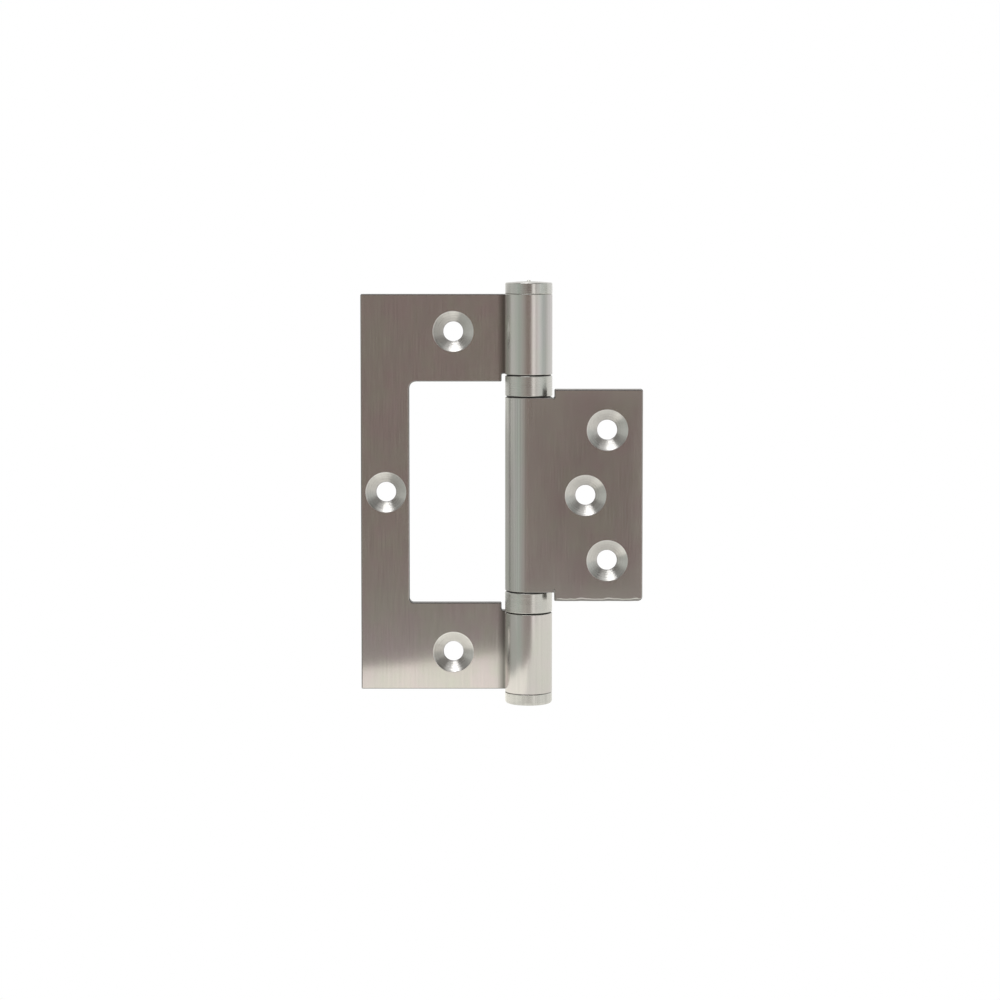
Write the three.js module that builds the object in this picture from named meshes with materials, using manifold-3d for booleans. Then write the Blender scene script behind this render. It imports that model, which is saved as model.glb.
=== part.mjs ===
// A ball-bearing door hinge of the non-mortise kind, open flat. The small door leaf closes into the
// window of the large frame leaf, so the closed hinge is only one sheet thick.
// Millimetres, +Z up. The pin's axis is the Z axis, and Z is 0 at the bottom cap's flat underside.
// Both leaves' countersunk faces look along -Y.

import * as THREE from 'three'
import { mergeVertices } from 'three/addons/utils/BufferGeometryUtils.js'
import Module from 'manifold-3d'

const wasm = await Module()
wasm.setup()

// The leaves: steel strip of one thickness, punched out and then rolled into knuckles.
const SHEET = 2.5
const KNUCKLE_RADIUS = 5.9
const BORE_RADIUS = KNUCKLE_RADIUS - SHEET
const ROLL_SWEEP = THREE.MathUtils.degToRad(303)
const SHARP = 0.3

// The frame leaf, a C with a knuckle at each end. Reaches are measured from the pin's axis.
const FRAME_HEIGHT = 100
const FRAME_REACH = 42.3
const WINDOW_REACH = 30.1
const WINDOW_HEIGHT = 56
const WINDOW_CORNERS = { upper: 1.8, lower: 1.1 }
const FRAME_KNUCKLE = 20.05
const NOTCH_REACH = 6.8
const FRAME_HOLES = [[-19, 40.6], [-36, 0], [-19, -40.6]]

// The door leaf, a plate with one long knuckle a little shorter than the plate.
const DOOR_HEIGHT = 53
const DOOR_REACH = 28.3
const DOOR_KNUCKLE = 48.6
const DOOR_SHOULDER = 6.35
const DOOR_CORNERS = { upper: 0.5, lower: 1.2 }
const DOOR_HOLES = [[19.5, 16.3], [14.1, 0], [19.5, -16.3]]

// The countersunk screw holes.
const SCREW_RADIUS = 2.5
const HEAD_RADIUS = 5.05
const HEAD_ANGLE = THREE.MathUtils.degToRad(100)

// The pin and the two caps pressed on its ends.
const PIN_RADIUS = 3.35
const SPIGOT_RADIUS = 2.5
const SPIGOT_LENGTH = 1.6
const CAP_RADIUS = 5.9
const CAP_HEIGHT = 2.8
const CAP_SEAT = 0.05
const CROWN = 0.35
const NUB_RADIUS = 0.6
const NUB_HEIGHT = 0.3
const TOP_EDGE = 0.35
const BOTTOM_EDGE = 0.7
const CAP_CHAMFER = 0.2
const SOCKET_SIDE_PLAY = 0.05
const SOCKET_END_PLAY = 0.1

// The bearings: two grooved races, a ring of balls in a cage, and a shell round them.
const BALL_RADIUS = 0.794
const BALL_COUNT = 10
const PITCH_RADIUS = 4.5
const GROOVE_RADIUS = 0.86
const GROOVE_DEPTH = 0.3
const RACE_INNER = 3.42
const RACE_OUTER = 5.53
const CAGE_INNER = 3.45
const CAGE_HEIGHT = 0.5
const POCKET_RADIUS = 0.86
const SHELL_INNER = 5.6
const SHELL_CHAMFER = 0.25
const SHELL_GAP = 0.3
const FACE_GAP = 0.02

const MIDDLE = CAP_HEIGHT + CAP_SEAT + FRAME_HEIGHT / 2
const BEARING_START = DOOR_KNUCKLE / 2
const BEARING_END = FRAME_HEIGHT / 2 - FRAME_KNUCKLE
const BEARING_CENTRE = (BEARING_START + BEARING_END) / 2

// Sides of the round pieces, and steps in a half turn or a corner of the punched ones.
const ROUND = 48
const RACE_SIDES = 40
const HOLE_SIDES = 40
const BALL_SIDES = { around: 10, down: 6 }
const ROLL_STEPS = 22
const CORNER_STEPS = 3
const POCKET_STEPS = 9
const TOP_EDGE_STEPS = 3
const BOTTOM_EDGE_STEPS = 5
const GROOVE_STEPS = 4

// How far cutters run past what they cut, and how close vertices lie that are one.
const BEYOND = 1
const SAME = 1e-4

function metal(color, roughness) {
  return new THREE.MeshStandardMaterial({ color, roughness, metalness: 1 })
}

const FINISHES = {
  leaf: metal(0x8b817a, 0.38),
  turned: metal(0xb4b3ad, 0.3),
  pin: metal(0x9a9a97, 0.25),
  race: metal(0x3a3a3b, 0.4),
  ball: metal(0xd0d2d4, 0.08),
  cage: metal(0xb08d4a, 0.4),
}

const hinge = new THREE.Group()
hinge.position.z = MIDDLE

function add(name, geometry, finish) {
  const mesh = new THREE.Mesh(geometry, finish)
  mesh.name = name
  hinge.add(mesh)
  return mesh
}

function solidOf(geometry) {
  const bare = geometry.clone()
  bare.deleteAttribute('normal')
  bare.deleteAttribute('uv')
  const merged = mergeVertices(bare, SAME)
  return new wasm.Manifold(new wasm.Mesh({
    numProp: 3,
    vertProperties: merged.attributes.position.array,
    triVerts: new Uint32Array(merged.index.array),
  }))
}

function geometryOf(solid) {
  const mesh = solid.getMesh()
  const geometry = new THREE.BufferGeometry()
  geometry.setAttribute('position', new THREE.BufferAttribute(mesh.vertProperties, 3))
  geometry.setIndex(new THREE.BufferAttribute(mesh.triVerts, 1))
  geometry.computeVertexNormals()
  return geometry
}

// A piece turned about Z. The section lists [radius, height] points, either from axis to axis or
// closing on itself.
function turned(section, sides = ROUND) {
  const points = section.map(([radius, height]) => new THREE.Vector2(radius, height))
  if (THREE.ShapeUtils.area(points) < 0) points.reverse()
  const touchesAxis = points.some((point) => point.x === 0)
  if (touchesAxis) {
    while (points[0].x !== 0 || points.at(-1).x !== 0) points.push(points.shift())
  } else {
    points.push(points[0].clone())
  }
  return new THREE.LatheGeometry(points, sides).rotateX(Math.PI / 2)
}

// An outline of square corners, each given as [x, z, radius] and rounded by that radius.
function roundedOutline(corners) {
  const shape = new THREE.Shape()
  corners.forEach(([x, z, radius = SHARP], i) => {
    const corner = new THREE.Vector2(x, z)
    const towards = ([px, pz]) => new THREE.Vector2(px, pz).sub(corner).setLength(radius)
    const start = corner.clone().add(towards(corners.at(i - 1)))
    const end = corner.clone().add(towards(corners[(i + 1) % corners.length]))
    const centre = start.clone().add(end).sub(corner)
    const from = start.clone().sub(centre)
    const to = end.clone().sub(centre)
    shape.absarc(centre.x, centre.y, radius, from.angle(), to.angle(), from.cross(to) < 0)
  })
  return shape
}

// The strip seen along Z: flat out to its reach, and rolled round the pin on the other side.
function rolledStrip(reach, height) {
  const start = Math.PI / 2
  const end = start - ROLL_SWEEP
  const shape = new THREE.Shape()
  shape.moveTo(-reach, KNUCKLE_RADIUS)
  shape.lineTo(-reach, BORE_RADIUS)
  shape.absarc(0, 0, BORE_RADIUS, start, end, true)
  shape.absarc(0, 0, KNUCKLE_RADIUS, end, start, false)
  const options = { depth: height, bevelEnabled: false, curveSegments: ROLL_STEPS }
  const strip = new THREE.ExtrudeGeometry(shape, options)
  return solidOf(strip.translate(0, 0, -height / 2))
}

// The punched outline as a solid that runs past both faces of the strip.
function punched(corners) {
  const depth = 2 * (KNUCKLE_RADIUS + BEYOND)
  const options = { depth, bevelEnabled: false, curveSegments: CORNER_STEPS }
  const plate = new THREE.ExtrudeGeometry(roundedOutline(corners), options)
  return solidOf(plate.rotateX(Math.PI / 2).translate(0, depth / 2, 0))
}

// The cutter for one countersunk hole, its wide end at the face of the leaf that looks along -Y.
function countersink(x, z, face) {
  const depth = (HEAD_RADIUS - SCREW_RADIUS) / Math.tan(HEAD_ANGLE / 2)
  const wide = HEAD_RADIUS + BEYOND * Math.tan(HEAD_ANGLE / 2)
  const cutter = turned([
    [0, -BEYOND],
    [wide, -BEYOND],
    [SCREW_RADIUS, depth],
    [SCREW_RADIUS, SHEET + BEYOND],
    [0, SHEET + BEYOND],
  ], HOLE_SIDES)
  return solidOf(cutter.rotateX(-Math.PI / 2).translate(x, face, z))
}

function leaf(strip, outline, holes, face) {
  const blank = strip.intersect(punched(outline))
  const drilled = holes.reduce((solid, [x, z]) => solid.subtract(countersink(x, z, face)), blank)
  return geometryOf(drilled)
}

function frameLeaf() {
  const top = FRAME_HEIGHT / 2
  const arm = WINDOW_HEIGHT / 2
  const past = KNUCKLE_RADIUS + BEYOND
  const outline = [
    [-FRAME_REACH, -top],
    [past, -top],
    [past, -BEARING_END],
    [-NOTCH_REACH, -BEARING_END],
    [-NOTCH_REACH, -arm],
    [-WINDOW_REACH, -arm, WINDOW_CORNERS.lower],
    [-WINDOW_REACH, arm, WINDOW_CORNERS.upper],
    [-NOTCH_REACH, arm],
    [-NOTCH_REACH, BEARING_END],
    [past, BEARING_END],
    [past, top],
    [-FRAME_REACH, top],
  ]
  return leaf(rolledStrip(FRAME_REACH, FRAME_HEIGHT), outline, FRAME_HOLES, BORE_RADIUS)
}

function doorLeaf() {
  const top = DOOR_HEIGHT / 2
  const knuckle = DOOR_KNUCKLE / 2
  const past = KNUCKLE_RADIUS + BEYOND
  const strip = rolledStrip(DOOR_REACH, DOOR_HEIGHT).rotate([0, 0, 180])
  const outline = [
    [-past, -knuckle],
    [DOOR_SHOULDER, -knuckle],
    [DOOR_SHOULDER, -top],
    [DOOR_REACH, -top, DOOR_CORNERS.lower],
    [DOOR_REACH, top, DOOR_CORNERS.upper],
    [DOOR_SHOULDER, top],
    [DOOR_SHOULDER, knuckle],
    [-past, knuckle],
  ]
  return leaf(strip, outline, DOOR_HOLES, -KNUCKLE_RADIUS)
}

function pin() {
  const shoulder = FRAME_HEIGHT / 2
  const end = shoulder + CAP_SEAT + SPIGOT_LENGTH
  return turned([
    [0, -end],
    [SPIGOT_RADIUS, -end],
    [SPIGOT_RADIUS, -shoulder],
    [PIN_RADIUS, -shoulder],
    [PIN_RADIUS, shoulder],
    [SPIGOT_RADIUS, shoulder],
    [SPIGOT_RADIUS, end],
    [0, end],
  ])
}

// Half a cap's section below its outer face: the socket for the pin's end, and the seat.
function capSocket(seat, side) {
  const socket = SPIGOT_LENGTH + SOCKET_END_PLAY
  const bore = SPIGOT_RADIUS + SOCKET_SIDE_PLAY
  return [
    [CAP_RADIUS, seat + side * CAP_CHAMFER],
    [CAP_RADIUS - CAP_CHAMFER, seat],
    [bore, seat],
    [bore, seat + side * socket],
    [0, seat + side * socket],
  ]
}

function arcPoints(radius, centre, from, to, steps) {
  return Array.from({ length: steps + 1 }, (_, i) => {
    const angle = THREE.MathUtils.degToRad(from + (to - from) * i / steps)
    return [centre[0] + radius * Math.cos(angle), centre[1] + radius * Math.sin(angle)]
  })
}

// The top cap is slightly crowned, with the small nub that is left where it was parted off.
function topCap() {
  const seat = FRAME_HEIGHT / 2 + CAP_SEAT
  const rim = seat + CAP_HEIGHT
  return turned([
    [0, rim + CROWN + NUB_HEIGHT],
    [NUB_RADIUS / 2, rim + CROWN + NUB_HEIGHT],
    [NUB_RADIUS, rim + CROWN],
    [CAP_RADIUS / 2, rim + CROWN * 0.75],
    ...arcPoints(TOP_EDGE, [CAP_RADIUS - TOP_EDGE, rim - TOP_EDGE], 90, 0, TOP_EDGE_STEPS),
    ...capSocket(seat, 1),
  ])
}

function bottomCap() {
  const seat = -FRAME_HEIGHT / 2 - CAP_SEAT
  const face = seat - CAP_HEIGHT
  return turned([
    [0, face],
    ...arcPoints(BOTTOM_EDGE, [CAP_RADIUS - BOTTOM_EDGE, face + BOTTOM_EDGE], -90, 0, BOTTOM_EDGE_STEPS),
    ...capSocket(seat, -1),
  ])
}

// The thin shell that hides a bearing, chamfered at both rims.
function bearingShell(side) {
  const low = side * (BEARING_START + SHELL_GAP)
  const high = side * (BEARING_END - SHELL_GAP)
  return turned([
    [SHELL_INNER, low],
    [CAP_RADIUS - SHELL_CHAMFER, low],
    [CAP_RADIUS, low + side * SHELL_CHAMFER],
    [CAP_RADIUS, high - side * SHELL_CHAMFER],
    [CAP_RADIUS - SHELL_CHAMFER, high],
    [SHELL_INNER, high],
  ])
}

// One race: a thick washer with the balls' groove turned in its inner face.
function race(side, outward) {
  const centre = side * BEARING_CENTRE
  const lip = BALL_RADIUS - GROOVE_DEPTH
  const spread = THREE.MathUtils.radToDeg(Math.acos(lip / GROOVE_RADIUS))
  const middle = outward * side * 90
  const face = centre + outward * side * lip
  const half = BEARING_CENTRE - BEARING_START - FACE_GAP
  const back = centre + outward * side * half
  const low = middle - spread
  const high = middle + spread
  const groove = arcPoints(GROOVE_RADIUS, [PITCH_RADIUS, centre], low, high, GROOVE_STEPS)
  if (groove[0][0] > PITCH_RADIUS) groove.reverse()
  return turned([
    [RACE_INNER, back],
    [RACE_INNER, face],
    ...groove,
    [RACE_OUTER, face],
    [RACE_OUTER, back],
  ], RACE_SIDES)
}

function cage(side) {
  const ring = new THREE.Shape().absarc(0, 0, RACE_OUTER, 0, 2 * Math.PI)
  ring.holes.push(new THREE.Path().absarc(0, 0, CAGE_INNER, 0, 2 * Math.PI))
  for (const [x, y] of ballPlaces()) {
    ring.holes.push(new THREE.Path().absarc(x, y, POCKET_RADIUS, 0, 2 * Math.PI))
  }
  const options = { depth: CAGE_HEIGHT, bevelEnabled: false, curveSegments: POCKET_STEPS }
  const plate = new THREE.ExtrudeGeometry(ring, options)
  return plate.translate(0, 0, side * BEARING_CENTRE - CAGE_HEIGHT / 2)
}

function ballPlaces() {
  return Array.from({ length: BALL_COUNT }, (_, i) => {
    const angle = 2 * Math.PI * i / BALL_COUNT
    return [PITCH_RADIUS * Math.cos(angle), PITCH_RADIUS * Math.sin(angle)]
  })
}

add('frame_leaf', frameLeaf(), FINISHES.leaf)
add('door_leaf', doorLeaf(), FINISHES.leaf)
add('hinge_pin', pin(), FINISHES.pin)
add('top_cap', topCap(), FINISHES.turned)
add('bottom_cap', bottomCap(), FINISHES.turned)

for (const [place, side] of [['upper', 1], ['lower', -1]]) {
  add(`${place}_bearing_shell`, bearingShell(side), FINISHES.turned)
  add(`${place}_frame_race`, race(side, 1), FINISHES.race)
  add(`${place}_door_race`, race(side, -1), FINISHES.race)
  add(`${place}_ball_cage`, cage(side), FINISHES.cage)
  ballPlaces().forEach(([x, y], i) => {
    const sphere = new THREE.SphereGeometry(BALL_RADIUS, BALL_SIDES.around, BALL_SIDES.down)
    const ball = add(`${place}_ball_${i + 1}`, sphere, FINISHES.ball)
    ball.position.set(x, y, side * BEARING_CENTRE)
  })
}

export default hinge
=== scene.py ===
"""A ball-bearing door hinge in satin steel, open flat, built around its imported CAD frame.

Lengths are in millimetres, and MM carries them to Blender's metres. Z runs up the pin. Each leaf is
built as a flat punched sheet and carried round the pin by a bend, and each round piece is turned from
its section.
"""

import math

import bpy
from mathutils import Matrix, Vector
from mathutils.geometry import delaunay_2d_cdt


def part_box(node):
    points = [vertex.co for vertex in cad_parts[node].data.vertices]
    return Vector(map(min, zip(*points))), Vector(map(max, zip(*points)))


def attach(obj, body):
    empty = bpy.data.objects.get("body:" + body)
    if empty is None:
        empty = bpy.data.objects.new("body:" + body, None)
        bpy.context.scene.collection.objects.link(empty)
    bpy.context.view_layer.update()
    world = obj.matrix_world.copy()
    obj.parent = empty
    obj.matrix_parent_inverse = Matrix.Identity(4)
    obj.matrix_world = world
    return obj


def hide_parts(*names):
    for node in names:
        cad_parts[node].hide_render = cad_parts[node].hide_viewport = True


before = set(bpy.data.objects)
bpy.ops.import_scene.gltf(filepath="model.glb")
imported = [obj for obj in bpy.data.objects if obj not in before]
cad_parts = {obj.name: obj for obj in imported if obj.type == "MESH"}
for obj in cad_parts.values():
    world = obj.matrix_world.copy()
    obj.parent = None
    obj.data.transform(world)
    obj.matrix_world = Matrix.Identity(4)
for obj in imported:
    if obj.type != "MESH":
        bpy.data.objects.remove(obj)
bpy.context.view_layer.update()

MM = 0.001


def span(node, axis):
    """Lowest and highest place of a CAD node along an axis, in millimetres."""
    low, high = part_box(node)
    return low[axis] / MM, high[axis] / MM


# Sizes from the frame. The pin's axis is x = y = 0.
FRAME_LEFT, KNUCKLE_RADIUS = span("frame_leaf", 0)
FRAME_BOTTOM, FRAME_TOP = span("frame_leaf", 2)
MIDDLE = (FRAME_BOTTOM + FRAME_TOP) / 2
HALF_FRAME = (FRAME_TOP - FRAME_BOTTOM) / 2
DOOR_RIGHT = span("door_leaf", 0)[1]
HALF_DOOR = (span("door_leaf", 2)[1] - span("door_leaf", 2)[0]) / 2
RACE_LOW = span("upper_door_race", 2)[0] - MIDDLE
RACE_HIGH = span("upper_frame_race", 2)[1] - MIDDLE
PIN_RADIUS = span("hinge_pin", 0)[1]
CAP_RADIUS = span("top_cap", 0)[1]
RACE_RADIUS = span("upper_frame_race", 0)[1]

# Sizes that the frame's boxes don't give.
SHEET = 2.5
ROLL_SWEEP = math.radians(303)
WINDOW_LEFT = -30.1
HALF_WINDOW = 28.0
NOTCH_LEFT = -6.8
DOOR_SHOULDER = 6.35
KNUCKLE_GAP = 0.02
FRAME_HOLES = [(-19.0, 40.6), (-36.0, 0.0), (-19.0, -40.6)]
DOOR_HOLES = [(19.5, 16.3), (14.1, 0.0), (19.5, -16.3)]
SCREW_RADIUS = 2.5
HEAD_RADIUS = 5.05
HEAD_HALF_ANGLE = math.radians(50)
HEAD_DEPTH = (HEAD_RADIUS - SCREW_RADIUS) / math.tan(HEAD_HALF_ANGLE)
KNUCKLE_END = RACE_HIGH + KNUCKLE_GAP
DOOR_KNUCKLE = RACE_LOW - KNUCKLE_GAP
SPIGOT_RADIUS = 2.5
SOCKET_RADIUS = 2.55
SOCKET_DEPTH = 1.7
NUB_RADIUS = 0.6
NUB_HEIGHT = 0.3
CROWN = 0.35
TOP_EDGE = 0.35
BOTTOM_EDGE = 0.7
SHELL_INNER = 5.6
BALL_RADIUS = 0.794
PITCH_RADIUS = 4.5
GROOVE_RADIUS = 0.86
GROOVE_DEPTH = 0.3
GROOVE_STEPS = 12
RACE_INNER = 3.42
CAGE_INNER = 3.45
CAGE_EDGE = 0.05
POCKET_RADIUS = 0.86
BALL_COUNT = 10

# How finely round things are cut, and how much grain goes once round a turned piece.
ROUND_SIDES = 160
HOLE_SIDES = 96
CAGE_SIDES = 96
BALL_SIDES = 24
POCKET_SIDES = 24
ROLL_COLUMNS = 100
CONE_RINGS = 26
EDGE_STEPS = 4
LOWER_EDGE_STEPS = 48
CORNER_STEP = math.radians(10)
SECTION_STEP = math.radians(15)
GRAIN_TURN = 20

# Below these a point is on the axis, a corner is straight, a face has no area, a point is on a column,
# and two points are one.
ON_AXIS = 1e-6
STRAIGHT = 1e-6
NO_AREA = 1e-12
SAME_COLUMN = 1e-5
SAME_POINT = 1e-7


def ball_places():
    """Where the balls of a bearing stand round the pin."""
    angles = [2 * math.pi * i / BALL_COUNT for i in range(BALL_COUNT)]
    return [(PITCH_RADIUS * math.cos(a), PITCH_RADIUS * math.sin(a)) for a in angles]


# ---------------------------------------------------------------- camera

CAMERA_DISTANCE = 628.7
CAMERA_SIDE = -7.2
CAMERA_RISE = 54.53
CAMERA_PITCH = math.radians(3.736)
LENS = 90.47
SHIFT = -0.06


def make_camera():
    data = bpy.data.cameras.new("camera")
    data.lens = LENS
    data.shift_y = SHIFT
    data.clip_start = 0.01
    data.clip_end = 20
    camera = bpy.data.objects.new("camera", data)
    camera.location = Vector((CAMERA_SIDE, -CAMERA_DISTANCE, MIDDLE + CAMERA_RISE)) * MM
    camera.rotation_euler = (math.pi / 2 - CAMERA_PITCH, 0, 0)
    bpy.context.scene.collection.objects.link(camera)
    bpy.context.scene.camera = camera


make_camera()


# ---------------------------------------------------------------- outlines and meshes


def rounded(corners, closed=True, step=CORNER_STEP):
    """[(point, outward normal)] round an outline. Each corner is (x, y, radius), listed anticlockwise."""
    path = []
    count = len(corners)
    for i, (x, y, radius) in enumerate(corners):
        corner = Vector((x, y))
        if not closed and i in (0, count - 1):
            other = Vector(corners[1 if i == 0 else count - 2][:2])
            along = (other - corner if i == 0 else corner - other).normalized()
            path.append((corner, Vector((along.y, -along.x))))
            continue
        before = (corner - Vector(corners[i - 1][:2])).normalized()
        after = (Vector(corners[(i + 1) % count][:2]) - corner).normalized()
        turn = math.atan2(before.x * after.y - before.y * after.x, before.dot(after))
        normal = Vector((before.y, -before.x))
        if abs(turn) < STRAIGHT:
            path.append((corner, normal))
            continue
        side = math.copysign(radius, turn)
        centre = corner - before * radius * math.tan(abs(turn) / 2) - normal * side
        steps = max(2, math.ceil(abs(turn) / step))
        for k in range(steps + 1):
            angle = turn * k / steps
            cos, sin = math.cos(angle), math.sin(angle)
            turned_normal = Vector((normal.x * cos - normal.y * sin, normal.x * sin + normal.y * cos))
            path.append((centre + turned_normal * side, turned_normal))
    return path


def circle(x, y, radius, count, inwards=False):
    """[(point, normal)] round a circle. A hole's normals point to its centre, and it runs clockwise."""
    path = []
    for k in range(count):
        angle = 2 * math.pi * k / count * (-1 if inwards else 1)
        out = Vector((math.cos(angle), math.sin(angle)))
        path.append((Vector((x, y)) + out * radius, -out if inwards else out))
    return path


class Shape:
    """Vertices with their normals, and faces with their UVs, wear and material slots."""

    def __init__(self):
        self.places, self.normals, self.wear = [], [], []
        self.faces, self.slots, self.uvs = [], [], []

    def vertex(self, place, normal, wear=0.0):
        self.places.append(place)
        self.normals.append(normal)
        self.wear.append(wear)
        return len(self.places) - 1

    def face(self, corners, uvs, slot=0):
        """A face, turned to look the way its vertices' normals do."""
        places = [self.places[i] for i in corners]
        facing = Vector()
        for a, b in zip(places, places[1:] + places[:1]):
            facing += a.cross(b)
        if facing.length < NO_AREA:
            return
        if facing.dot(sum((self.normals[i] for i in corners), Vector())) < 0:
            corners, uvs = corners[::-1], uvs[::-1]
        self.faces.append(corners)
        self.slots.append(slot)
        self.uvs.append(uvs)

    def make(self, name, body, nodes, materials, slot):
        """The finished object, riding on its body in place of its CAD nodes."""
        mesh = bpy.data.meshes.new(name)
        mesh.from_pydata([p * MM for p in self.places], [], self.faces)
        layer = mesh.uv_layers.new(name="grain")
        layer.data.foreach_set("uv", [c for uvs in self.uvs for uv in uvs for c in uv])
        worn = mesh.attributes.new("wear", "FLOAT", "POINT")
        worn.data.foreach_set("value", self.wear)
        mesh.polygons.foreach_set("material_index", self.slots)
        mesh.polygons.foreach_set("use_smooth", [True] * len(self.faces))
        for material in materials:
            mesh.materials.append(material)
        mesh.normals_split_custom_set_from_vertices([n.normalized() for n in self.normals])
        piece = bpy.data.objects.new(name, mesh)
        bpy.context.scene.collection.objects.link(piece)
        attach(piece, body)
        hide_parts(*nodes)
        return piece


# ---------------------------------------------------------------- sheet pieces

# Added to the outer skin's second grain coordinate, so that a material can tell the two skins apart.
OUTSIDE_SHIFT = 300

# Blender's choice of which triangles a fill keeps: those inside its outermost edges.
FILL_INSIDE = 1

# The countersink's rim and the bore's lips, where the tool's rings start and how far down they run as
# shares of the cone, its chatter as (depth, radians from ring to ring), and the steps of the profile
# that lie in the bore.
RIM = 0.12
LIP = 0.11
RINGS_START = 0.02
RINGS_RUN = 0.95
CHATTER = [(0.05, 2.1), (0.04, 5.3)]
BORE_STEPS = 3


def edge_profile(thickness, first_edge, last_edge):
    """A rounded sheet edge as (inset, depth, out, down, wear): place, then normal, from skin to skin."""
    points = []
    for first, edge, base in ((0, first_edge, 0.0), (1, last_edge, thickness - 2 * last_edge)):
        for k in range(EDGE_STEPS + 1):
            angle = math.pi / 2 * (first + k / EDGE_STEPS)
            out, down = math.sin(angle), -math.cos(angle)
            points.append((edge * (1 - out), base + edge * (1 + down), out, down, 1 - abs(out - down - 1)))
    return points


def countersink_profile(thickness, from_back):
    """A countersunk hole's wall in the same form, with fine turned rings on its cone."""
    cone = HEAD_RADIUS - SCREW_RADIUS
    slope = math.hypot(cone, HEAD_DEPTH)
    points = [(cone + RIM, 0.0, 0.0, -1.0, 0.0)]
    for k in range(CONE_RINGS + 1):
        share = RINGS_START + RINGS_RUN * k / CONE_RINGS
        chatter = sum(depth * math.sin(k * turn) for depth, turn in CHATTER)
        points.append((cone * (1 - share), HEAD_DEPTH * share, HEAD_DEPTH / slope + chatter,
                       chatter - cone / slope, 0.0))
    points.append((0.0, HEAD_DEPTH + LIP, 1.0, 0.0, 0.0))
    points.append((0.0, thickness - LIP, 1.0, 0.0, 0.0))
    points.append((LIP, thickness, 0.0, 1.0, 0.0))
    if from_back:
        return [(i, thickness - d, o, -n, w) for i, d, o, n, w in reversed(points)]
    return points


class Sheet(Shape):
    """A sheet given by its flat outline, its holes, and a bend that carries it to its place."""

    def __init__(self, bend):
        super().__init__()
        self.bend = bend

    def ring(self, outline, profiles, step):
        """One loop of vertices round an outline. Returns [(index, flat place)]."""
        made = []
        for (point, normal), profile in zip(outline, profiles):
            inset, depth, out, down, wear = profile[step]
            u, v = point - normal * inset
            place, along, across, inward = self.bend(u, depth)
            facing = (along * normal.x + across * normal.y) * out + inward * down
            made.append((self.vertex(place + across * v, facing, wear), (u, v)))
        return made

    def wall(self, outline, profiles, slots, turned=False):
        """The faces between the two skins round one outline. Returns its first and last loops.

        profiles holds one profile for each point of the outline, and slots one material slot for each
        step of the profile.
        """
        loops = [self.ring(outline, profiles, step) for step in range(len(profiles[0]))]
        run = 0.0
        for j in range(1, len(loops)):
            lower, upper = profiles[0][j - 1], profiles[0][j]
            reach = math.dist(lower[:2], upper[:2])
            for i in range(len(outline)):
                k = (i + 1) % len(outline)
                corners = [loops[j - 1][i], loops[j - 1][k], loops[j][k], loops[j][i]]
                if turned:
                    low, high = i / len(outline) * GRAIN_TURN, (i + 1) / len(outline) * GRAIN_TURN
                    uvs = [(run, low), (run, high), (run + reach, high), (run + reach, low)]
                else:
                    uvs = []
                    depths = (lower[1], lower[1], upper[1], upper[1])
                    for (_, (u, v)), n, depth in zip(corners, (i, k, k, i), depths):
                        normal = outline[n][1]
                        uvs.append((u + normal.x * depth, v + normal.y * depth))
                self.face([c[0] for c in corners], uvs, slots[j - 1])
            run += reach
        return loops[0], loops[-1]

    def skin(self, loops, columns=(), shift=0):
        """A flat face between an outer loop and its holes, with columns of edges where it bends."""
        nodes, edges = [], []
        for loop in loops:
            start = len(nodes)
            nodes.extend(loop)
            edges.extend((start + i, start + (i + 1) % len(loop)) for i in range(len(loop)))
        for u in columns:
            crossing = [i for i, (_, place) in enumerate(nodes) if abs(place[0] - u) < SAME_COLUMN]
            crossing.sort(key=lambda i: nodes[i][1][1])
            edges.extend(zip(crossing[::2], crossing[1::2]))
        flat = [Vector(place) for _, place in nodes]
        _, _, faces, origins, _, _ = delaunay_2d_cdt(flat, edges, [], FILL_INSIDE, SAME_POINT)
        rings = [[place for _, place in loop] for loop in loops]
        for face in faces:
            kept = [origins[i][0] for i in face]
            middle = sum((flat[i] for i in kept), Vector((0, 0))) / len(kept)
            if sum(encloses(ring, middle) for ring in rings) % 2:
                self.face([nodes[i][0] for i in kept], [(flat[i].x, flat[i].y + shift) for i in kept])


def encloses(ring, point):
    """Whether a closed loop of places goes round a point."""
    inside = False
    for (ax, ay), (bx, by) in zip(ring, ring[1:] + ring[:1]):
        if (ay > point.y) != (by > point.y) and point.x < ax + (point.y - ay) / (by - ay) * (bx - ax):
            inside = not inside
    return inside


def knuckle_bend(turned_round):
    """Carries a flat sheet to its leaf: straight along X, then rolled round the pin.

    The first skin is the roll's outside. The door leaf is the frame leaf turned half round the pin.
    """
    side = -1 if turned_round else 1

    def bend(u, depth):
        if u <= 0:
            place = Vector((u, KNUCKLE_RADIUS - depth, MIDDLE))
            along, inward = Vector((1, 0, 0)), Vector((0, -1, 0))
        else:
            angle = math.pi / 2 - u / KNUCKLE_RADIUS
            out = Vector((math.cos(angle), math.sin(angle), 0))
            place = out * (KNUCKLE_RADIUS - depth) + Vector((0, 0, MIDDLE))
            along, inward = Vector((out.y, -out.x, 0)), -out
        turn = Vector((side, side, 1))
        return place * turn, along * turn, Vector((0, 0, 1)), inward * turn

    return bend


# The roll's length along its outside, and the columns that it bends on. They stop short of its end,
# which has rounded corners.
ROLL_LENGTH = KNUCKLE_RADIUS * ROLL_SWEEP
ROLL_END = 0.5
COLUMNS = [(ROLL_LENGTH - ROLL_END) * k / ROLL_COLUMNS for k in range(ROLL_COLUMNS + 1)]

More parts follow.
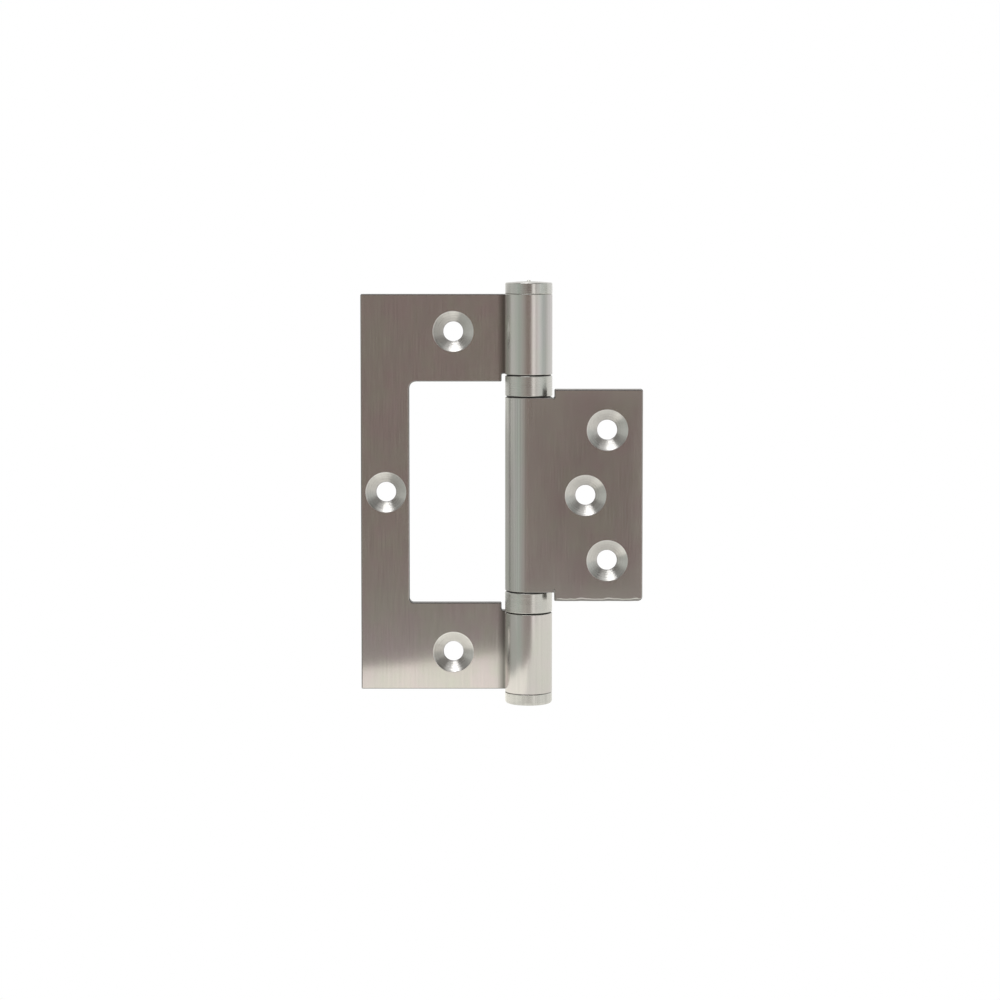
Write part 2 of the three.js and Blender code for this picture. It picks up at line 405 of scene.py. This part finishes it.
# Corner radii of the leaves' outlines.
ROLL_CORNER = 0.35
NOTCH_CORNER = 0.35
WINDOW_LOWER_CORNER = 1.1
WINDOW_UPPER_CORNER = 1.8
FRAME_LOWER_CORNER = 0.3
FRAME_UPPER_CORNER = 0.4
DOOR_LOWER_CORNER = 1.2
DOOR_UPPER_CORNER = 0.5
SHOULDER_CORNER = 0.35
NECK_CORNER = 0.4

# How far the leaves' edges are rounded: against the wood, and on the countersunk side.
BACK_EDGE = 0.16
FRAME_FRONT_EDGE = 0.3
DOOR_FRONT_EDGE = 0.24
WORN_ABOVE = 0.2
WORN_BELOW = 0.6

# The wear below as depths of its waves, and their radians to the millimetre.
LONG_DEPTH = 0.22
SHORT_DEPTH = 0.16
LONG_WAVE = 0.9
SHORT_WAVE = 2.3
SLOW_WAVE = 0.4

# The stretch of the door leaf's lower edge with points for its wear, from its corner and its shoulder.
WEAR_FROM_CORNER = 2
WEAR_FROM_SHOULDER = 1


def rolled_edge(level, outwards):
    """The straight edge of a knuckle at one height, as a corner list that follows its columns."""
    ordered = COLUMNS if outwards else COLUMNS[::-1]
    end = (ROLL_LENGTH, level, ROLL_CORNER)
    points = [(u, level, 0.0) for u in ordered]
    return points + [end] if outwards else [end] + points


# A leaf's material slots: its skins and rounded edges, its sheared edges, and its countersinks.
STEEL, CUT, CONE = 0, 1, 2


def make_leaf(name, body, node, outline, holes, steel, cut, from_back, profile_at, turned_round):
    """One leaf. profile_at gives the edge's profile for a point of the outline and its normal."""
    sheet = Sheet(knuckle_bend(turned_round))
    path = rounded(outline)
    profiles = [profile_at(point, normal) for point, normal in path]
    slots = [STEEL] + [CUT] * EDGE_STEPS + [STEEL] * EDGE_STEPS
    if from_back:
        slots.reverse()
    loops = [sheet.wall(path, profiles, slots)]
    for u, v in holes:
        hole = circle(u, v, SCREW_RADIUS, HOLE_SIDES, inwards=True)
        profile = countersink_profile(SHEET, from_back)
        slots = [CONE] * (CONE_RINGS + 1) + [CUT] * BORE_STEPS
        if from_back:
            slots.reverse()
        loops.append(sheet.wall(hole, [profile] * HOLE_SIDES, slots, turned=True))
    sheet.skin([outside for outside, _ in loops], COLUMNS, OUTSIDE_SHIFT)
    sheet.skin([inside for _, inside in loops], COLUMNS)
    sheet.make(name, body, [node], [steel, cut, cone_steel], "leaf_steel")


def frame_edge(point, normal):
    """The frame leaf's rim, which is the same at every point."""
    return edge_profile(SHEET, BACK_EDGE, FRAME_FRONT_EDGE)


def door_edge(point, normal):
    """The door leaf's rim: plain on its roll, and on its plate worn wide and uneven below, less above."""
    if point.x > -DOOR_SHOULDER + NECK_CORNER:
        return edge_profile(SHEET, BACK_EDGE, BACK_EDGE)
    uneven = 1 + LONG_DEPTH * math.sin(point.x * LONG_WAVE + 1)
    uneven += SHORT_DEPTH * math.sin(point.x * SHORT_WAVE) * math.sin(point.x * SLOW_WAVE)
    below = max(0.0, -normal.y) ** 2
    above = max(0.0, normal.y) ** 2
    front = DOOR_FRONT_EDGE + WORN_BELOW * uneven * below + WORN_ABOVE * above
    return edge_profile(SHEET, front, BACK_EDGE)


def frame_outline():
    """The frame leaf laid flat, with its roll at positive u."""
    return [
        (FRAME_LEFT, -HALF_FRAME, FRAME_LOWER_CORNER),
        *rolled_edge(-HALF_FRAME, True),
        *rolled_edge(-KNUCKLE_END, False),
        (NOTCH_LEFT, -KNUCKLE_END, NOTCH_CORNER),
        (NOTCH_LEFT, -HALF_WINDOW, NOTCH_CORNER),
        (WINDOW_LEFT, -HALF_WINDOW, WINDOW_LOWER_CORNER),
        (WINDOW_LEFT, HALF_WINDOW, WINDOW_UPPER_CORNER),
        (NOTCH_LEFT, HALF_WINDOW, NOTCH_CORNER),
        (NOTCH_LEFT, KNUCKLE_END, NOTCH_CORNER),
        *rolled_edge(KNUCKLE_END, True),
        *rolled_edge(HALF_FRAME, False),
        (FRAME_LEFT, HALF_FRAME, FRAME_UPPER_CORNER),
    ]


def door_outline():
    """The door leaf before it is turned half round the pin, so its plate lies at negative u."""
    start = -DOOR_RIGHT + WEAR_FROM_CORNER
    run = DOOR_RIGHT - DOOR_SHOULDER - (WEAR_FROM_CORNER + WEAR_FROM_SHOULDER)
    lower_edge = [start + run * k / LOWER_EDGE_STEPS for k in range(LOWER_EDGE_STEPS + 1)]
    return [
        (-DOOR_RIGHT, -HALF_DOOR, DOOR_LOWER_CORNER),
        *[(u, -HALF_DOOR, 0.0) for u in lower_edge],
        (-DOOR_SHOULDER, -HALF_DOOR, SHOULDER_CORNER),
        (-DOOR_SHOULDER, -DOOR_KNUCKLE, NECK_CORNER),
        *rolled_edge(-DOOR_KNUCKLE, True),
        *rolled_edge(DOOR_KNUCKLE, False),
        (-DOOR_SHOULDER, DOOR_KNUCKLE, NECK_CORNER),
        (-DOOR_SHOULDER, HALF_DOOR, SHOULDER_CORNER),
        (-DOOR_RIGHT, HALF_DOOR, DOOR_UPPER_CORNER),
    ]


def make_cage(name, body, node, material):
    """The pressed ring that spaces the balls, lying flat with a round pocket for each."""
    low, high = span(node, 2)
    right, ahead, down = Vector((1, 0, 0)), Vector((0, 1, 0)), Vector((0, 0, -1))
    sheet = Sheet(lambda u, depth: (Vector((u, 0, high - depth)), right, ahead, down))
    profile = edge_profile(high - low, CAGE_EDGE, CAGE_EDGE)
    slots = [0] * (len(profile) - 1)
    rim = circle(0, 0, RACE_RADIUS, CAGE_SIDES)
    bore = circle(0, 0, CAGE_INNER, CAGE_SIDES, inwards=True)
    pockets = [circle(x, y, POCKET_RADIUS, POCKET_SIDES, inwards=True) for x, y in ball_places()]
    loops = [sheet.wall(outline, [profile] * len(outline), slots) for outline in (rim, bore, *pockets)]
    sheet.skin([first for first, _ in loops])
    sheet.skin([last for _, last in loops])
    sheet.make(name, body, [node], [material], "cage_brass")


# ---------------------------------------------------------------- turned pieces

# How far the turned pieces' edges are rounded.
SPIGOT_TIP = 0.2
SPIGOT_ROOT = 0.1
PIN_END = 0.3
SOCKET_MOUTH = 0.1
CAP_SEAT = 0.18
NUB_EDGE = 0.1
SHELL_OUTER_EDGE = 0.22
SHELL_INNER_EDGE = 0.08
RACE_EDGE = 0.1

# The top cap's crown is rounded off half way out, at this share of its height.
CROWN_SHARE = 0.75
CROWN_ROUNDING = 2.0


class Turned(Shape):
    """A round piece on an upright axis, from a section of (radius, height, fillet) corners.

    The corners run anticlockwise, and an open section starts and ends on the axis.
    """

    def __init__(self, section, sides=ROUND_SIDES, centre=(0, 0)):
        super().__init__()
        closed = section[0][0] > 0
        path = rounded(section, closed=closed, step=SECTION_STEP)
        loops = [self.loop(point, normal, sides, Vector((*centre, 0))) for point, normal in path]
        ends = list(range(1, len(path))) + ([0] if closed else [])
        run = 0.0
        for a, b in enumerate(ends):
            reach = (path[b][0] - path[a][0]).length
            for k in range(sides):
                self.strip(loops[a], loops[b], k, sides, run, reach)
            run += reach

    def loop(self, point, normal, sides, centre):
        """The vertices at one point of the section: one on the axis, or a ring round it."""
        up = Vector((0, 0, 1))
        if point.x < ON_AXIS:
            return [self.vertex(centre + up * point.y, up * normal.y)]
        made = []
        for k in range(sides):
            angle = 2 * math.pi * k / sides
            out = Vector((math.cos(angle), math.sin(angle), 0))
            made.append(self.vertex(centre + out * point.x + up * point.y, out * normal.x + up * normal.y))
        return made

    def strip(self, lower, upper, k, sides, run, reach):
        """One face between two loops. Its grain coordinates are the way along the section and round it."""
        n = (k + 1) % sides
        left, right = k / sides * GRAIN_TURN, (k + 1) / sides * GRAIN_TURN
        corners = {
            lower[k % len(lower)]: (run, left),
            lower[n % len(lower)]: (run, right),
            upper[n % len(upper)]: (run + reach, right),
            upper[k % len(upper)]: (run + reach, left),
        }
        if len(corners) > 2:
            self.face(list(corners), list(corners.values()))


def make_pin():
    """The pin, as long as the frame leaf is high, with a spigot at each end for a cap."""
    low, high = span("hinge_pin", 2)
    section = [
        (0, low, 0),
        (SPIGOT_RADIUS, low, SPIGOT_TIP),
        (SPIGOT_RADIUS, MIDDLE - HALF_FRAME, SPIGOT_ROOT),
        (PIN_RADIUS, MIDDLE - HALF_FRAME, PIN_END),
        (PIN_RADIUS, MIDDLE + HALF_FRAME, PIN_END),
        (SPIGOT_RADIUS, MIDDLE + HALF_FRAME, SPIGOT_ROOT),
        (SPIGOT_RADIUS, high, SPIGOT_TIP),
        (0, high, 0),
    ]
    Turned(section).make("hinge_pin_ground", "frame", ["hinge_pin"], [pin_steel], "pin_steel")


def make_caps():
    """The two buttons on the pin's ends, each with a socket for the pin's spigot."""
    seat, top = span("top_cap", 2)
    rim = top - NUB_HEIGHT - CROWN
    section = [
        (0, seat + SOCKET_DEPTH, 0),
        (SOCKET_RADIUS, seat + SOCKET_DEPTH, 0),
        (SOCKET_RADIUS, seat, SOCKET_MOUTH),
        (CAP_RADIUS, seat, CAP_SEAT),
        (CAP_RADIUS, rim, TOP_EDGE),
        (CAP_RADIUS / 2, rim + CROWN * CROWN_SHARE, CROWN_ROUNDING),
        (NUB_RADIUS, rim + CROWN, NUB_EDGE),
        (NUB_RADIUS / 2, top, NUB_EDGE),
        (0, top, 0),
    ]
    Turned(section).make("top_cap_turned", "frame", ["top_cap"], [cap_steel], "turned_steel")
    face, seat = span("bottom_cap", 2)
    section = [
        (0, face, 0),
        (CAP_RADIUS, face, BOTTOM_EDGE),
        (CAP_RADIUS, seat, CAP_SEAT),
        (SOCKET_RADIUS, seat, SOCKET_MOUTH),
        (SOCKET_RADIUS, seat - SOCKET_DEPTH, 0),
        (0, seat - SOCKET_DEPTH, 0),
    ]
    Turned(section).make("bottom_cap_turned", "frame", ["bottom_cap"], [cap_steel], "turned_steel")


def make_bearing(place, balls):
    """One bearing: its shell, two grooved races, the cage and the balls."""
    node = f"{place}_bearing_shell"
    low, high = span(node, 2)
    section = [
        (SHELL_INNER, low, SHELL_INNER_EDGE),
        (CAP_RADIUS, low, SHELL_OUTER_EDGE),
        (CAP_RADIUS, high, SHELL_OUTER_EDGE),
        (SHELL_INNER, high, SHELL_INNER_EDGE),
    ]
    Turned(section).make(f"{node}_turned", "frame", [node], [shell_steel], "turned_steel")
    centre = sum(span(f"{place}_ball_cage", 2)) / 2
    for body in ("frame", "door"):
        node = f"{place}_{body}_race"
        make_race(node, body, centre)
    make_cage(f"{place}_ball_cage_pressed", balls, f"{place}_ball_cage", cage_brass)
    for i, (x, y) in enumerate(ball_places()):
        node = f"{place}_ball_{i + 1}"
        section = [
            (0, centre - BALL_RADIUS, 0),
            (BALL_RADIUS, centre - BALL_RADIUS, BALL_RADIUS),
            (BALL_RADIUS, centre + BALL_RADIUS, BALL_RADIUS),
            (0, centre + BALL_RADIUS, 0),
        ]
        ball = Turned(section, sides=BALL_SIDES, centre=(x, y))
        ball.make(f"{node}_polished", balls, [node], [ball_steel], "ball_steel")


def make_race(node, body, centre):
    """A race: a washer with the balls' groove in the face towards them."""
    low, high = span(node, 2)
    outward = 1 if low > centre else -1
    back = high if outward > 0 else low
    lip = BALL_RADIUS - GROOVE_DEPTH
    half = math.acos(lip / GROOVE_RADIUS)
    section = [(RACE_INNER, back, RACE_EDGE), (RACE_INNER, centre + outward * lip, 0)]
    for k in range(GROOVE_STEPS + 1):
        angle = half * (2 * k / GROOVE_STEPS - 1)
        radius = PITCH_RADIUS + GROOVE_RADIUS * math.sin(angle)
        section.append((radius, centre + outward * GROOVE_RADIUS * math.cos(angle), 0))
    section += [(RACE_RADIUS, centre + outward * lip, 0), (RACE_RADIUS, back, RACE_EDGE)]
    if outward < 0:
        section.reverse()
    Turned(section).make(f"{node}_ground", body, [node], [race_steel], "race_steel")


# ---------------------------------------------------------------- materials


class Nodes:
    """Short calls for a material's node tree."""

    def __init__(self, name):
        self.material = bpy.data.materials.new(name)
        self.material.use_nodes = True
        self.tree = self.material.node_tree
        self.shader = self.tree.nodes["Principled BSDF"]

    def add(self, kind, **settings):
        node = self.tree.nodes.new(kind)
        for key, value in settings.items():
            setattr(node, key, value)
        return node

    def link(self, source, target):
        self.tree.links.new(source, target)

    def grain_uv(self, scale):
        uv = self.add("ShaderNodeUVMap", uv_map="grain")
        mapping = self.add("ShaderNodeMapping")
        mapping.inputs["Scale"].default_value = (*scale, 1)
        self.link(uv.outputs["UV"], mapping.inputs["Vector"])
        return mapping.outputs["Vector"]

    def noise(self, vector, scale=1.0, detail=2.0, roughness=0.5):
        noise = self.add("ShaderNodeTexNoise")
        noise.inputs["Scale"].default_value = scale
        noise.inputs["Detail"].default_value = detail
        noise.inputs["Roughness"].default_value = roughness
        self.link(vector, noise.inputs["Vector"])
        return noise.outputs["Fac"]

    def spread(self, value, low, high, start=0.3, end=0.7):
        """A value between start and end carried to the range from low to high."""
        remap = self.add("ShaderNodeMapRange")
        remap.inputs["From Min"].default_value = start
        remap.inputs["From Max"].default_value = end
        remap.inputs["To Min"].default_value = low
        remap.inputs["To Max"].default_value = high
        self.link(value, remap.inputs["Value"])
        return remap.outputs["Result"]

    def maths(self, operation, a, b):
        node = self.add("ShaderNodeMath", operation=operation)
        for socket, value in zip(node.inputs, (a, b)):
            if isinstance(value, (int, float)):
                socket.default_value = value
            else:
                self.link(value, socket)
        return node.outputs["Value"]

    def mix(self, factor, a, b, blend="MIX"):
        node = self.add("ShaderNodeMix", data_type="RGBA", blend_type=blend)
        for name, value in (("Factor", factor), ("A", a), ("B", b)):
            socket = next(s for s in node.inputs if s.name == name and s.enabled)
            if isinstance(value, (int, float)):
                socket.default_value = value
            elif isinstance(value, tuple):
                socket.default_value = (*value, 1)
            else:
                self.link(value, socket)
        return next(s for s in node.outputs if s.enabled)

    def metal(self, anisotropy):
        self.shader.inputs["Metallic"].default_value = 1.0
        self.shader.inputs["Anisotropic"].default_value = anisotropy
        tangent = self.add("ShaderNodeTangent", direction_type="UV_MAP", uv_map="grain")
        self.link(tangent.outputs["Tangent"], self.shader.inputs["Tangent"])

    def along_and_height(self):
        """The two grain coordinates of a leaf: along the sheet and up it."""
        split = self.add("ShaderNodeSeparateXYZ")
        self.link(self.grain_uv((1, 1)), split.inputs[0])
        return split.outputs[0], split.outputs[1]

    def crevice(self, start, deepest, end):
        """How deep in the corner between the sheet and its roll a place on the inner skin is, up to 1.

        start, deepest and end are places along the sheet.
        """
        along, height = self.along_and_height()
        near = self.spread(along, 0, 1, start, deepest)
        far = self.spread(along, 1, 0, deepest, end)
        inside = self.maths("LESS_THAN", height, OUTSIDE_SHIFT / 2)
        return self.maths("MULTIPLY", self.maths("MULTIPLY", near, far), inside)

    def bump(self, height, distance, strength=1.0):
        bump = self.add("ShaderNodeBump")
        bump.inputs["Distance"].default_value = distance * MM
        bump.inputs["Strength"].default_value = strength
        self.link(height, bump.inputs["Height"])
        self.link(bump.outputs["Normal"], self.shader.inputs["Normal"])


# What the leaves' steel shows: two tints in clouds, darker bands and streaks, bright scratches, worn
# edges, and painted shade in the corner between the sheet and its roll.
MAUVE = (0.65, 0.575, 0.58)
OLIVE = (0.60, 0.605, 0.535)
BAND = (0.53, 0.515, 0.50)
STREAK = (0.48, 0.46, 0.45)
SCRATCH = (0.78, 0.76, 0.74)
WORN = (0.74, 0.73, 0.71)
CREVICE_SHADE = (0.17, 0.165, 0.15)
BLACK = (0.0, 0.0, 0.0)
WHITE = (1.0, 1.0, 1.0)

# How fine each is, and the tool's lines on the roll, in noise cells to the millimetre along the sheet
# and up it.
SCRATCH_GRAIN = (9, 0.12)
STREAK_GRAIN = (2.6, 0.05)
BAND_GRAIN = (0.16, 0.05)
CLOUD_GRAIN = (0.11, 0.09)
LINE_GRAIN = (1.3, 0.004)

# Where the painted corner shade starts, is deepest and ends along the sheet, how much of it and of the
# wear there is, and how deep the brushing is.
CREVICE_SHADE_PLACES = (-7.9, -6.2, -5.2)
CREVICE_SHADE_AMOUNT = 0.9
WEAR_AMOUNT = 0.4
BRUSHING_DEPTH = 0.002


def brushed_steel(name, tone, lines):
    """Satin sheet grained along the hinge's height, with faint tinted clouds, worn edges and painted
    shade.

    tone darkens it as a whole, and lines is how strongly the tool that curled the roll has marked it.
    """
    n = Nodes(name)
    n.metal(0.85)
    fine = n.noise(n.grain_uv(SCRATCH_GRAIN), 1, 3, 0.6)
    medium = n.noise(n.grain_uv(STREAK_GRAIN), 1, 3, 0.6)
    broad = n.noise(n.grain_uv(BAND_GRAIN), 1, 2, 0.5)
    cloud = n.noise(n.grain_uv(CLOUD_GRAIN), 1, 3, 0.6)
    tint = n.mix(n.spread(cloud, 0, 1, 0.38, 0.62), MAUVE, OLIVE)
    banded = n.mix(n.spread(broad, 0, 0.35), tint, BAND)
    streaked = n.mix(n.spread(medium, 0, 0.32), banded, STREAK)
    brushed = n.mix(n.spread(fine, 0, 0.22), streaked, SCRATCH)
    line = n.noise(n.grain_uv(LINE_GRAIN), 1, 3, 0.7)
    drawn = n.mix(n.spread(line, 0, 1, 0.36, 0.64), (1 - lines / 2,) * 3, (1 + lines,) * 3)
    on_roll = n.maths("GREATER_THAN", n.along_and_height()[0], 0.0)
    marked = n.mix(on_roll, WHITE, drawn)
    toned = n.mix(tone, BLACK, n.mix(1.0, brushed, marked, "MULTIPLY"))
    wear = n.add("ShaderNodeAttribute", attribute_name="wear")
    worn = n.mix(n.maths("MULTIPLY", wear.outputs["Fac"], WEAR_AMOUNT), toned, WORN)
    # Painted shade: the corner between the sheet and its roll is darkened, standing in for the shadow that
    # falls there.
    crevice_shade = n.maths("MULTIPLY", n.crevice(*CREVICE_SHADE_PLACES), CREVICE_SHADE_AMOUNT)
    n.link(n.mix(crevice_shade, worn, CREVICE_SHADE), n.shader.inputs["Base Color"])
    rough = n.maths("ADD", n.spread(fine, 0.15, 0.2), n.spread(cloud, -0.012, 0.016))
    n.link(rough, n.shader.inputs["Roughness"])
    height = n.maths("ADD", fine, n.maths("MULTIPLY", medium, 1.5))
    n.bump(height, BRUSHING_DEPTH)
    return n.material


TEAR_GRAIN = (0.8, 0.8)
TEAR_DEPTH = 0.01


def sheared_steel(name, dark, light):
    """The dull, torn edge that a punch leaves."""
    n = Nodes(name)
    n.metal(0.3)
    tear = n.noise(n.grain_uv(TEAR_GRAIN), 1, 4, 0.6)
    n.link(n.mix(n.spread(tear, 0, 1), dark, light), n.shader.inputs["Base Color"])
    n.link(n.spread(tear, 0.34, 0.5), n.shader.inputs["Roughness"])
    n.bump(tear, TEAR_DEPTH)
    return n.material


# A turned piece's grain along its section and round it: how far its rings stay the same, its stains,
# and its streaks. Then how dark or light each is beside the piece's own colour.
RING_STRETCH = 0.05
STAIN_GRAIN = (0.4, 0.35)
STREAK_AROUND = (0.05, 3)
STAIN_TONE = 0.86
STREAK_TONE = 0.6
RING_TONE = 1.12


def scaled(colour, factor):
    """A colour made darker or lighter, up to white."""
    return tuple(min(1.0, c * factor) for c in colour)


def turned_steel(name, colour, rough, rings, anisotropy=0.7, depth=0.0015, streaks=0.0):
    """Steel with fine rings left by the lathe tool, and streaks along it from polishing."""
    n = Nodes(name)
    n.metal(anisotropy)
    ring = n.noise(n.grain_uv((rings, RING_STRETCH)), 1, 3, 0.6)
    stain = n.noise(n.grain_uv(STAIN_GRAIN), 1, 3, 0.5)
    streak = n.noise(n.grain_uv(STREAK_AROUND), 1, 3, 0.6)
    stained = n.mix(n.spread(stain, 0, 0.5), colour, scaled(colour, STAIN_TONE))
    streaked = n.mix(n.spread(streak, 0, streaks), stained, scaled(colour, STREAK_TONE))
    ringed = n.mix(n.spread(ring, 0, 0.35), streaked, scaled(colour, RING_TONE))
    n.link(ringed, n.shader.inputs["Base Color"])
    n.link(n.spread(ring, rough * 0.85, rough * 1.2), n.shader.inputs["Roughness"])
    n.bump(ring, depth)
    return n.material


# ---------------------------------------------------------------- the pieces

frame_steel = brushed_steel("brushed_frame_steel", tone=1.0, lines=0.06)
door_steel = brushed_steel("brushed_door_steel", tone=0.88, lines=0.3)
frame_cut = sheared_steel("sheared_frame_edge", (0.13, 0.125, 0.12), (0.20, 0.195, 0.19))
door_cut = sheared_steel("sheared_door_edge", (0.22, 0.21, 0.205), (0.34, 0.33, 0.32))
cone_steel = turned_steel("countersink_steel", (0.80, 0.79, 0.77), rough=0.3, rings=6, anisotropy=0.6,
                          depth=0.006, streaks=0.2)
cap_steel = turned_steel("cap_steel", (0.74, 0.73, 0.70), rough=0.25, rings=5, anisotropy=0.85,
                         depth=0.0004, streaks=0.6)
shell_steel = turned_steel("shell_steel", (0.69, 0.68, 0.65), rough=0.28, rings=3, anisotropy=0.6,
                           depth=0.0004, streaks=0.15)
pin_steel = turned_steel("pin_steel", (0.60, 0.60, 0.59), rough=0.2, rings=3)
race_steel = turned_steel("race_steel", (0.05, 0.05, 0.05), rough=0.4, rings=8)
ball_steel = turned_steel("ball_steel", (0.80, 0.81, 0.82), rough=0.06, rings=2, anisotropy=0.0,
                          depth=0.0002)
cage_brass = turned_steel("cage_brass", (0.72, 0.55, 0.28), rough=0.28, rings=4, anisotropy=0.3)

make_leaf("frame_leaf_steel", "frame", "frame_leaf", frame_outline(), FRAME_HOLES, frame_steel, frame_cut,
          from_back=True, profile_at=frame_edge, turned_round=False)
holes = [(-u, v) for u, v in DOOR_HOLES]
make_leaf("door_leaf_steel", "door", "door_leaf", door_outline(), holes, door_steel, door_cut,
          from_back=False, profile_at=door_edge, turned_round=True)
make_pin()
make_caps()
make_bearing("upper", "upper_balls")
make_bearing("lower", "lower_balls")


# ---------------------------------------------------------------- stage


class Surround(Nodes):
    """The same short calls for the world's or the floor's node tree."""

    def __init__(self, tree):
        self.tree = tree
        tree.nodes.clear()

    def ramp(self, value, stops):
        node = self.add("ShaderNodeValToRGB")
        elements = node.color_ramp.elements
        while len(elements) > 1:
            elements.remove(elements[-1])
        for k, (place, colour) in enumerate(stops):
            element = elements[0] if k == 0 else elements.new(place)
            element.position = place
            element.color = (*colour, 1)
        self.link(value, node.inputs["Fac"])
        return node.outputs["Color"]

    def unseen(self, colour):
        """A colour that only reflections see. The camera sees white."""
        path = self.add("ShaderNodeLightPath")
        return self.mix(path.outputs["Is Camera Ray"], colour, WHITE)


# The floor's outline. Its front edge is mirrored in the lower end of the frame leaf. It reaches least
# far forward by the leaf's left edge, and further towards the pin.
FLOOR_OUTLINE = [
    (-900, -120),
    (-100, -60),
    (-60, -45),
    (-36, -54),
    (-11, -77),
    (12, -90),
    (45, -110),
    (400, -260),
    (900, -260),
    (900, 1200),
    (-900, 1200),
]

# The floor's painted glow and shade that the metal mirrors, as (share of the way from left to right,
# colour).
FLOOR_SHADES_HALF_WIDTH = 100
FLOOR_SHADES = [
    (0.20, (0.48, 0.49, 0.46)),
    (0.28, (1.12, 1.10, 1.02)),
    (0.455, (1.12, 1.10, 1.02)),
    (0.48, (0.88, 0.87, 0.82)),
    (1.0, (0.90, 0.89, 0.84)),
]


def make_floor():
    """A pale floor under the hinge that glows rather than being lit: plain white to the camera, painted
    shade to reflections.
    """
    mesh = bpy.data.meshes.new("floor")
    corners = [Vector((x, y, 0)) * MM for x, y in FLOOR_OUTLINE]
    mesh.from_pydata(corners, [], [tuple(range(len(corners)))])
    floor = bpy.data.objects.new("floor", mesh)
    bpy.context.scene.collection.objects.link(floor)
    material = bpy.data.materials.new("pale_floor")
    material.use_nodes = True
    n = Surround(material.node_tree)
    place = n.add("ShaderNodeNewGeometry").outputs["Position"]
    split = n.add("ShaderNodeSeparateXYZ")
    n.link(place, split.inputs[0])
    side = FLOOR_SHADES_HALF_WIDTH * MM
    shade = n.ramp(n.spread(split.outputs["X"], 0, 1, -side, side), FLOOR_SHADES)
    glow = n.add("ShaderNodeEmission")
    n.link(n.unseen(shade), glow.inputs["Color"])
    output = n.add("ShaderNodeOutputMaterial")
    n.link(glow.outputs[0], output.inputs["Surface"])
    floor.data.materials.append(material)


BROWN = (0.259, 0.211, 0.188)

# What the metal mirrors at eye level: (degrees from straight in front, + to the right, colour).
ROUND_ABOUT = [
    (-180, (0.87, 0.86, 0.84)),
    (-130, (0.74, 0.74, 0.71)),
    (-105, (0.64, 0.65, 0.62)),
    (-80, (0.60, 0.61, 0.58)),
    (-65, (0.56, 0.58, 0.55)),
    (-52, (0.47, 0.53, 0.48)),
    (-38, (0.46, 0.47, 0.44)),
    (-26, (0.44, 0.42, 0.39)),
    (-16, (0.37, 0.33, 0.30)),
    (-9, BROWN),
    (12, BROWN),
    (17, (1.12, 1.08, 1.05)),
    (27, (1.12, 1.08, 1.05)),
    (32, (0.64, 0.61, 0.59)),
    (40, (0.62, 0.61, 0.59)),
    (43, (0.84, 0.82, 0.80)),
    (58, (0.72, 0.75, 0.73)),
    (72, (0.52, 0.57, 0.55)),
    (92, (0.55, 0.57, 0.54)),
    (108, (0.74, 0.75, 0.73)),
    (130, (0.82, 0.82, 0.82)),
    (180, (0.87, 0.86, 0.84)),
]

# Straight in front below eye level, in front above it, and overhead.
LOW_FRONT = (0.43, 0.41, 0.395)
DARK = (0.10, 0.095, 0.09)
ABOVE = (0.80, 0.80, 0.78)

# Where each fades in or out, in degrees: how far aside, and how high.
FRONT_ENDS = (12, 20)
LOW_FRONT_ENDS = (-8.8, -7.3)
DARK_ENDS = (60, 85)
DARK_STARTS = (12, 20)
ABOVE_STARTS = (50, 62)


def make_world():
    """A white surround for the camera, and a soft studio round about for the metal to mirror."""
    world = bpy.data.worlds.new("studio")
    bpy.context.scene.world = world
    world.use_nodes = True
    n = Surround(world.node_tree)
    split = n.add("ShaderNodeSeparateXYZ")
    n.link(n.add("ShaderNodeTexCoord").outputs["Generated"], split.inputs[0])
    x, y, z = split.outputs
    azimuth = n.maths("ARCTAN2", x, n.maths("MULTIPLY", y, -1.0))
    share = n.maths("ADD", n.maths("DIVIDE", azimuth, 2 * math.pi), 0.5)
    around = n.ramp(share, [(degrees / 360 + 0.5, colour) for degrees, colour in ROUND_ABOUT])
    level = n.maths("ARCSINE", z, 0.0)
    aside = n.maths("ABSOLUTE", azimuth, 0.0)
    front = n.spread(aside, 1, 0, *map(math.radians, FRONT_ENDS))
    low = n.spread(level, 1, 0, *map(math.radians, LOW_FRONT_ENDS))
    around = n.mix(n.maths("MULTIPLY", front, low), around, LOW_FRONT)
    facing = n.spread(aside, 1, 0, *map(math.radians, DARK_ENDS))
    raised = n.spread(level, 0, 1, *map(math.radians, DARK_STARTS))
    around = n.mix(n.maths("MULTIPLY", facing, raised), around, DARK)
    overhead = n.spread(level, 0, 1, *map(math.radians, ABOVE_STARTS))
    background = n.add("ShaderNodeBackground")
    n.link(n.unseen(n.mix(overhead, around, ABOVE)), background.inputs["Color"])
    output = n.add("ShaderNodeOutputWorld")
    n.link(background.outputs[0], output.inputs["Surface"])


def make_light(name, place, target, width, height, radiance):
    """A soft rectangular light of one brightness, wherever it stands."""
    data = bpy.data.lights.new(name, "AREA")
    data.shape = "RECTANGLE"
    data.size = width * MM
    data.size_y = height * MM
    data.energy = radiance * math.pi * data.size * data.size_y
    light = bpy.data.objects.new(name, data)
    light.location = Vector(place) * MM
    light.rotation_euler = (Vector(target) - Vector(place)).to_track_quat("-Z", "Y").to_euler()
    bpy.context.scene.collection.objects.link(light)


make_floor()
make_world()
make_light("overhead", (-100, -140, 750), target=(0, 0, 50), width=340, height=500, radiance=2.0)

bpy.context.scene.view_settings.view_transform = "Standard"

bpy.context.view_layer.update()
